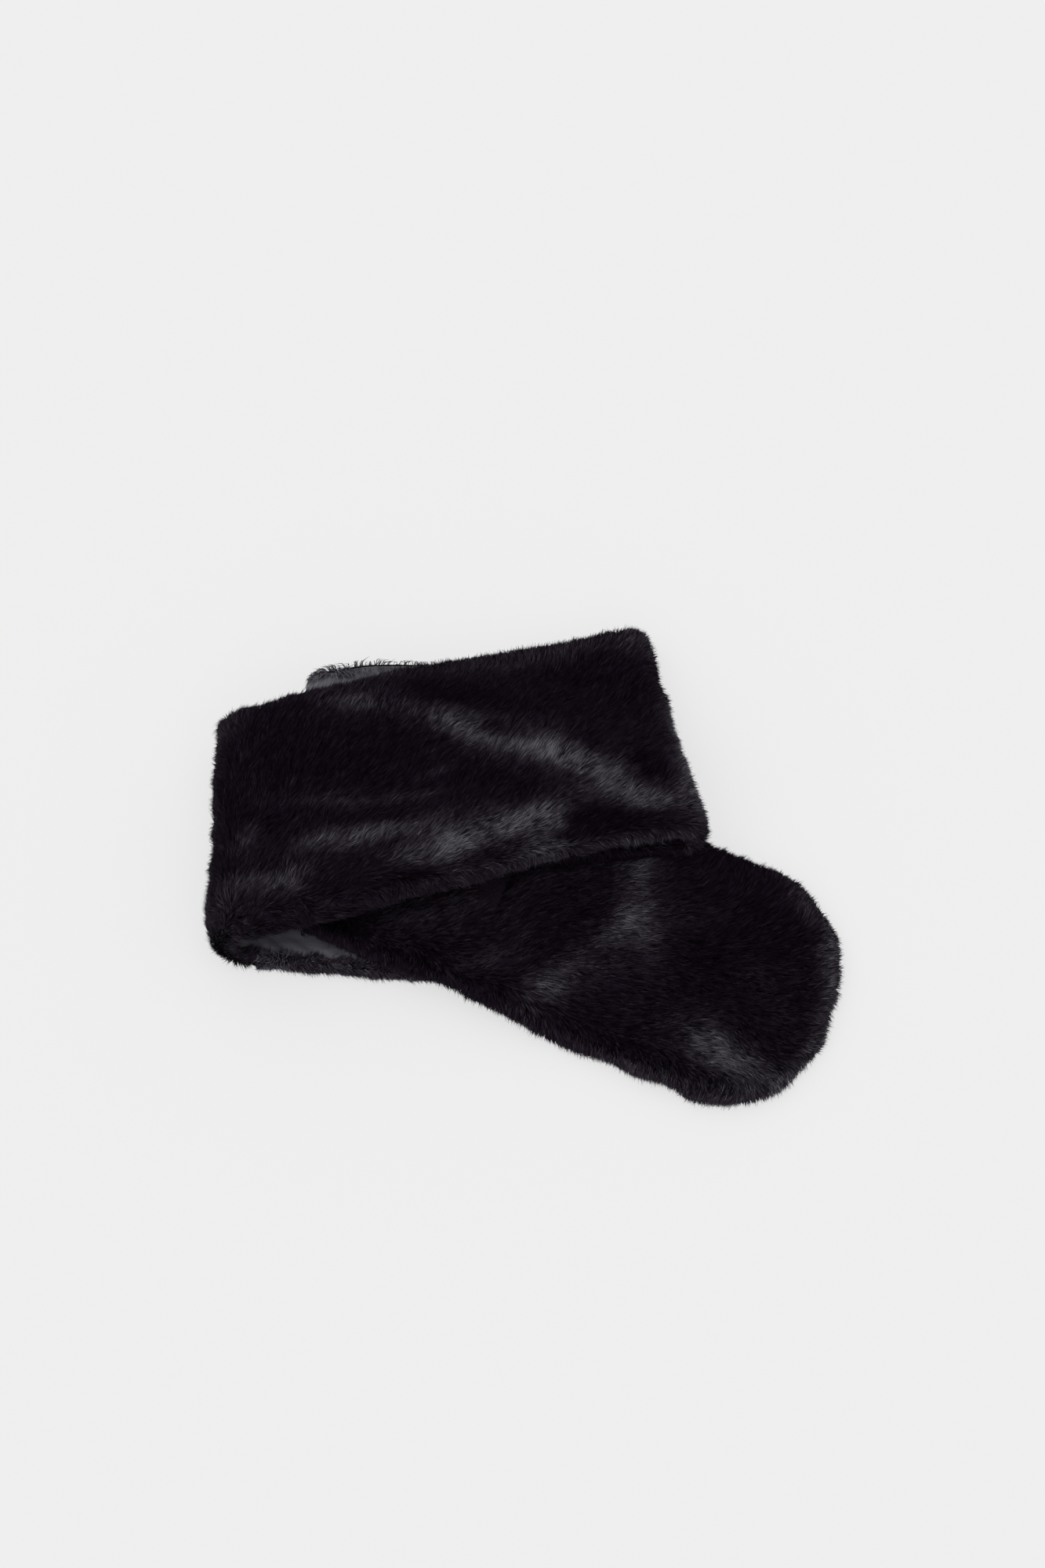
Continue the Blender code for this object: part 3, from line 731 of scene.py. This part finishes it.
def over_the_seam(points, normals):
    """How near each root is to a sewn edge, from 0 to 1, and the way over it."""
    share, way = np.zeros(len(points)), np.zeros_like(points)
    for i, p in enumerate(points):
        place, _, _, away = LINING_TREE.find_nearest(Vector(p), SEAM_REACH * MM)
        if place is not None:
            share[i] = 1 - away / (SEAM_REACH * MM)
            way[i] = np.array(place) - p
    return np.clip(share * 2.2, 0, 1), unit(without(way, normals))


def comb(node, root, normal, seed, rng):
    """Each strand's direction along the surface, and how near a sewn edge it grows."""
    lay = nap_at(root, normal, node, seed + 11)
    seam, over = over_the_seam(root, normal)
    share = seam * np.clip(SEAM_COMB[node] * rng.uniform(0.2, 1.6, len(root)), 0, 1)
    lay = unit(lay * (1 - share[:, None]) + over * share[:, None])
    side = np.cross(normal, lay)
    spread = rng.normal(0, math.radians(SPREAD_DEGREES), len(root))
    return unit(lay * np.cos(spread)[:, None] + side * np.sin(spread)[:, None]), seam


def join_clumps(root, aim, rng):
    """Draw each strand's aim towards its clump's; also gives each strand's leader."""
    leaders = rng.choice(len(root), max(len(root) // CLUMP_STRANDS, 1), replace=False)
    tree = KDTree(len(leaders))
    for k, i in enumerate(leaders):
        tree.insert(Vector(root[i]), k)
    tree.balance()
    leader = np.array([leaders[tree.find(Vector(p))[1]] for p in root])
    hold = rng.uniform(*CLUMP_HOLD, len(root))[:, None]
    shared = aim[leader] + (root - root[leader]) * CLUMP_SPREAD
    return aim * (1 - hold) + shared * hold, leader


def onto_surface(points):
    """The nearest places on the wrap's surface, and its normals there."""
    places, normals = np.empty_like(points), np.empty_like(points)
    for i, p in enumerate(points):
        place, normal, _, _ = ALL_TREE.find_nearest(Vector(p))
        places[i], normals[i] = place, normal
    return places, normals


def bend_along(root, aim):
    """The middle and tip of strands bent along the surface, with the normals there."""
    way = aim - root
    middle, middle_normal = onto_surface(root + way * 0.5)
    onward = unit(without(way, middle_normal)) * np.linalg.norm(way, axis=1)[:, None] * 0.5
    tip, tip_normal = onto_surface(middle + onward)
    return middle, middle_normal, tip, tip_normal


def lift_of(node, root, leader, seam, seed, rng):
    """How high each tip stands over the surface, in millimetres."""
    lift = rng.uniform(*TIP_LIFT, len(root))
    stray = rng.random(len(root)) < STRAY_SHARE
    lift[stray] = rng.uniform(*STRAY_LIFT, stray.sum())
    (long, long_share), (short, short_share) = LIFT_WAVES
    lift += long_share * ripple(root, long, seed + 31)
    lift += short_share * ripple(root[leader], short, seed + 32)
    return lift + SEAM_LIFT[node] * seam


def tone_of(node, root, tip, normal, leader, steep, seam, seed, rng):
    """Each strand's tone, from 0 to TONE_MOST, with painted sheen, painted shade and painted rim
    light.
    """
    wisp = rng.normal(0, 1, len(root))[leader]
    # Painted sheen and painted shade from the ovals, fading on the far side.
    sheen_paint = np.maximum(bump_field(root[leader] * 0.4 + tip * 0.6, PAINTED_SHEEN_OVALS[node]), LEAST_PAINTED_SHEEN)
    starts, over, fade = PAINTED_SHEEN_FADE
    sheen_paint *= 1 - fade * (1 - seam) * np.clip((normal[:, 1] - starts) / over, 0, 1)
    tuft, tuft_share = PAINTED_SHEEN_TUFT
    sheen_gain = PAINTED_SHEEN_GAIN + tuft_share * ripple(root[leader], tuft, seed + 21) + PAINTED_SHEEN_WISP * wisp
    wave, wave_share = PAINTED_SHEEN_WAVE
    sheen_gain += wave_share * ripple(root, wave, seed + 23)
    wave, wave_share = TONE_WAVE
    tone = TONE_BASE + wave_share * ripple(root, wave, seed + 22) + TONE_WISP * wisp
    tone += sheen_paint * sheen_gain
    even_grain, sheen_grain = TONE_GRAIN
    tone += rng.normal(0, 1, len(root)) * (even_grain + sheen_grain * np.clip(sheen_paint, 0, 1))
    # Painted rim light on steep sides.
    return np.clip(tone + PAINTED_RIM_LIGHT * steep, 0.0, TONE_MOST)


def grow_strands(node, faces, count, seed):
    """Each strand's base, middle, tip, side and tone."""
    rng = np.random.default_rng(seed)
    root, normal = scatter_roots(node, faces, count, rng)
    lay, seam = comb(node, root, normal, seed, rng)
    wave, wave_share = LENGTH_WAVE
    length = rng.uniform(*STRAND_LAY, len(root)) * MM
    length *= 1 + wave_share * ripple(root, wave, seed + 5)
    length *= thickness_at(root, node, 4)
    aim, leader = join_clumps(root, root + lay * length[:, None], rng)

    middle, middle_normal, tip, tip_normal = bend_along(root, aim)
    steep = np.clip(1.1 - normal[:, 2], 0, 1)
    tip += (aim - tip) * (TIP_FREE + STEEP_FREE * steep * (1 - SEAM_TIGHT * seam))[:, None]
    stand = (seam * rng.uniform(0.3, 1.0, len(root)) * SEAM_STAND[node])[:, None]
    risen = root + unit(lay + normal * 0.9) * length[:, None] * 0.75
    tip += (risen - tip) * stand
    middle += ((root + risen) * 0.5 - middle) * stand * 0.6

    lift = lift_of(node, root, leader, seam, seed, rng)
    tip += tip_normal * (lift * MM)[:, None]
    depth = rng.uniform(*MIDDLE_DEPTH, len(root)) - SEAM_RISE * seam - MIDDLE_LIFT * lift
    middle -= middle_normal * (depth * MM)[:, None]
    base = root - normal * ROOT_DEPTH * MM
    shift = side_shift(root, normal, node)
    base, middle, tip = base + shift * 0.5, middle + shift, tip + shift
    for part in (base, middle, tip):
        part[:, 2] = np.maximum(part[:, 2], FLOOR_CLEAR * MM)

    twist = rng.normal(0, TWIST, len(root))
    side = unit(np.cross(normal, tip - base))
    side = unit(side * np.cos(twist)[:, None] + normal * np.sin(twist)[:, None])
    return base, middle, tip, side, tone_of(node, root, tip, normal, leader, steep, seam, seed, rng)


# ---------------------------------------------------------------- strands as meshes

STRAND_CORNERS = 5
STRAND_LOOPS = 7
CHART_WIDTH = 0.012
CHART_HEIGHTS = (0.02, 0.02, 0.50, 0.50, 0.50, 0.50, 0.98)


def strand_mesh(name, base, middle, tip, side, tone):
    """All of a piece's strands as one mesh: each a quad below and a point above."""
    count = len(base)
    half = side * STRAND_WIDTH * MM / 2
    corners = [base - half, base + half, middle + half * 0.9, middle - half * 0.9, tip]
    points = np.stack(corners, 1).reshape(-1, 3)
    first = (np.arange(count) * STRAND_CORNERS)[:, None]
    loops = first + np.array([[0, 1, 2, 3, 3, 2, 4]])
    starts = (np.arange(count) * STRAND_LOOPS)[:, None] + np.array([[0, 4]])
    mesh = bpy.data.meshes.new(name)
    mesh.vertices.add(len(points))
    mesh.vertices.foreach_set("co", points.astype(np.float32).ravel())
    mesh.loops.add(loops.size)
    mesh.loops.foreach_set("vertex_index", loops.astype(np.int32).ravel())
    mesh.polygons.add(count * 2)
    mesh.polygons.foreach_set("loop_start", starts.astype(np.int32).ravel())
    mesh.update(calc_edges=True)
    mesh.validate()
    left, right = tone, tone + CHART_WIDTH
    across = np.stack([left, right, right, left, left, right, tone + CHART_WIDTH / 2], 1)
    chart = np.stack([across, np.broadcast_to(CHART_HEIGHTS, across.shape)], 2)
    layer = mesh.uv_layers.new(name="OFBake")
    layer.data.foreach_set("uv", chart.astype(np.float32).ravel())
    return mesh


def grow_pile():
    """Every stretch's strands, in pieces that run from left to right."""
    faces = {node: pile_faces(node) for node in FUR_STRETCHES}
    wanted = {}
    for node in FUR_STRETCHES:
        area = float(face_weights(node, faces[node]).sum()) / MM**2
        wanted[node] = area * STRANDS_PER_MM2
    thin = min(1.0, MOST_STRANDS / sum(wanted.values()))
    pieces = {}
    for k, node in enumerate(FUR_STRETCHES):
        strands = grow_strands(node, faces[node], int(wanted[node] * thin), 100 + 10 * k)
        order = np.argsort(strands[0][:, 0])
        parts = max(1, math.ceil(len(order) / PIECE_STRANDS))
        pieces[node] = []
        for i, share in enumerate(np.array_split(order, parts)):
            name = f"pile_{node[4:]}_{i + 1}"
            mesh = strand_mesh(name, *(rows[share] for rows in strands))
            pieces[node].append(put_in_scene(mesh, name, STRANDS, node, smooth=False))
    return pieces


# ---------------------------------------------------------------- the satin


def seam_marks(bm, others):
    """Points along the strip's sewn edges with the way that each edge runs."""
    marks = []
    for e in bm.edges:
        if len(e.link_faces) == 2 and e.calc_face_angle() > math.radians(SEAM_ANGLE):
            a, b = (v.co for v in e.verts)
            near = [tree.find_nearest(p, FOLD_SEARCH * MM)[0] for tree in others for p in (a, b)]
            if any(place is not None for place in near):
                continue
            run = (b - a).normalized()
            marks += [(a.lerp(b, k / 4), run) for k in range(4)]
    return marks


def split_long(bm, longest, wanted):
    """Split the wanted faces' edges until none is longer than asked."""
    for _ in range(9):
        edges = {e for f in bm.faces if wanted(f) for e in f.edges if e.calc_length() > longest}
        if not edges:
            break
        bmesh.ops.subdivide_edges(bm, edges=list(edges), cuts=1)
        bmesh.ops.triangulate(bm, faces=[f for f in bm.faces if len(f.verts) > 3])


def split_satin(bm):
    """Make the satin's faces small enough for creases, where it can be seen."""
    coarse, fine = SATIN_SPLIT
    split_long(bm, coarse * MM, lambda f: True)
    seen = bm.faces.layers.int.new("seen")
    for f in bm.faces:
        middle, flat = np.array(f.calc_center_median()), np.array(f.normal)
        f[seen] = openness(middle, flat) > SEEN_SATIN
    split_long(bm, fine * MM, lambda f: f[seen])
    bm.normal_update()


def make_satin(node):
    """A thin shell on the lining's form, with puckers at its seams and soft creases."""
    bm = merged_copy(node)
    others = [tree for name, tree in LINING_TREES.items() if name != node]
    marks = seam_marks(bm, others)
    tree = KDTree(len(marks))
    for k, (place, _) in enumerate(marks):
        tree.insert(place, k)
    tree.balance()
    split_satin(bm)
    points = np.array([v.co for v in bm.verts])
    crease = bump_field(points, SATIN_CREASES[node])
    slow = ripple(points, 60, 7)
    wave, wave_height = SATIN_WAVE
    fine = ripple(points, wave, 8)
    for i, v in enumerate(list(bm.verts)):
        _, k, away = tree.find(v.co)
        along = v.co.dot(marks[k][1]) / MM
        away /= MM
        turn = 2 * math.pi * along / PUCKER_PITCH + 2.2 * slow[i] + 1.2 * fine[i]
        pucker = PUCKER_HEIGHT * math.sin(turn) * math.exp(-((away / PUCKER_REACH) ** 2))
        lift = pucker * min(away / PUCKER_EASE, 1)
        lift += (crease[i] + wave_height * fine[i]) * min(away / CREASE_EASE, 1)
        near = [other.find_nearest(v.co, FOLD_JOIN * MM)[0] for other in others]
        joins = [place for place in near if place is not None]
        if joins:
            v.co = v.co.lerp(joins[0], 0.8)
        else:
            v.co += v.normal * lift * MM
    name = "satin_" + node[7:]
    mesh = bpy.data.meshes.new(name)
    bm.to_mesh(mesh)
    bm.free()
    piece = put_in_scene(mesh, name, SATIN, node)


# ---------------------------------------------------------------- the wrap


def make_wrap():
    """Every stretch: undercoat, strands over it, and its satin."""
    for node, (lining, _) in FUR_STRETCHES.items():
        make_undercoat(node, lining)
    piles = grow_pile()
    for node, (lining, length) in FUR_STRETCHES.items():
        if lining:
            make_satin(lining)


# ---------------------------------------------------------------- floor, light and camera

FLOOR_HALF = 3.0
FLOOR_DROP = 0.0002
FLOOR_GREY = 0.22
FLOOR_GLOW = 0.632
ROOM_LIGHT = 0.64
ROOM_GLOSS = 0.30
LAMPS = {"overhead": ((-0.40, 0.34, 1.0), 0.42), "front": ((-0.12, -0.62, 1.0), 1.05)}
LAMP_SPREAD = 75
LENS = 90
SENSOR = 36
CAMERA_RISE = 60
CAMERA_AWAY = 2.225
LOOK_AT_Y = 0.0574


def make_floor():
    """A pale sheet that shows only faint shadows."""
    bm = bmesh.new()
    bmesh.ops.create_grid(bm, x_segments=1, y_segments=1, size=FLOOR_HALF)
    bmesh.ops.translate(bm, verts=bm.verts, vec=(0, 0, -FLOOR_DROP))
    mesh = bpy.data.meshes.new("floor")
    bm.to_mesh(mesh)
    bm.free()
    material, _, _, shader = new_material("pale_floor")
    shader.inputs["Base Color"].default_value = (FLOOR_GREY, FLOOR_GREY, FLOOR_GREY, 1)
    shader.inputs["Emission Color"].default_value = (1, 1, 1, 1)
    shader.inputs["Emission Strength"].default_value = FLOOR_GLOW
    shader.inputs["Roughness"].default_value = 1.0
    shader.inputs["Specular IOR Level"].default_value = 0.0
    mesh.materials.append(material)
    floor = bpy.data.objects.new("floor", mesh)
    bpy.context.scene.collection.objects.link(floor)


def add_lamp(name, towards, strength):
    """A wide even light, as a large diffuser gives."""
    lamp = bpy.data.lights.new(name, "SUN")
    lamp.angle = math.radians(LAMP_SPREAD)
    lamp.energy = strength
    light = bpy.data.objects.new(name, lamp)
    light.rotation_euler = Vector(towards).to_track_quat("Z", "Y").to_euler()
    bpy.context.scene.collection.objects.link(light)


def light_room():
    """A white room, dimmer where it is mirrored, and two soft lamps."""
    world = bpy.data.worlds.new("white_room")
    bpy.context.scene.world = world
    world.use_nodes = True
    nodes, links = world.node_tree.nodes, world.node_tree.links
    room = nodes["Background"]
    room.inputs["Color"].default_value = (1, 1, 1, 1)
    path = nodes.new("ShaderNodeLightPath")
    level = add_range(nodes, links, path.outputs["Is Glossy Ray"], ROOM_LIGHT, ROOM_GLOSS)
    links.new(level, room.inputs["Strength"])
    for name, (towards, strength) in LAMPS.items():
        add_lamp(name, towards, strength)


def place_camera():
    """A long lens that looks down on the wrap from the near side."""
    lens = bpy.data.cameras.new("camera")
    lens.lens = LENS
    lens.sensor_width = SENSOR
    camera = bpy.data.objects.new("camera", lens)
    rise = math.radians(CAMERA_RISE)
    camera.location = (0, LOOK_AT_Y - math.cos(rise) * CAMERA_AWAY, math.sin(rise) * CAMERA_AWAY)
    camera.rotation_euler = (math.radians(90) - rise, 0, 0)
    bpy.context.scene.collection.objects.link(camera)
    bpy.context.scene.camera = camera


make_wrap()
make_floor()
light_room()
place_camera()
bpy.context.scene.view_settings.view_transform = "Standard"
